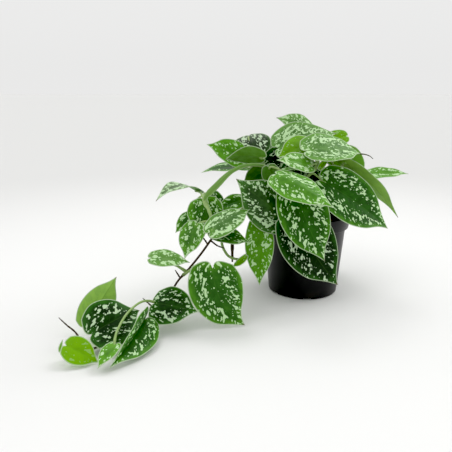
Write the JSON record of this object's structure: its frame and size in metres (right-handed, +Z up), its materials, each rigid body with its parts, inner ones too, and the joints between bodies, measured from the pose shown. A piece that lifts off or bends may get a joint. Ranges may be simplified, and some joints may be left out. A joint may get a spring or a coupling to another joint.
{
  "type": "potted philodendron",
  "caption": "Trailing philodendron with silver-splashed, heart-shaped leaves, growing in a round black nursery pot, with one long stem hanging over the rim and lying along the surface.",
  "frame": {"origin": "centre of the pot's base, on the surface that it stands on", "axes": "+Z up along the pot's axis, -Y to the front of the plant, +X to its right as seen from the front; the long stem trails to -X and -Y"},
  "size_m": [0.3403, 0.2896, 0.19],
  "materials": {
    "pot": "satin",
    "soil": "matte",
    "plant": "satin"
  },
  "bodies": {
    "root": {"pot": "pot", "soil": "soil", "vine_front": "plant", "vine_front_left": "plant", "vine_right_front": "plant", "vine_right": "plant", "vine_top": "plant", "vine_left_top": "plant", "vine_arching": "plant", "vine_trailing": "plant", "vine_hanging": "plant", "vine_back_1": "plant", "vine_back_2": "plant", "vine_back_3": "plant", "vine_back_4": "plant"}
  },
  "joints": []
}
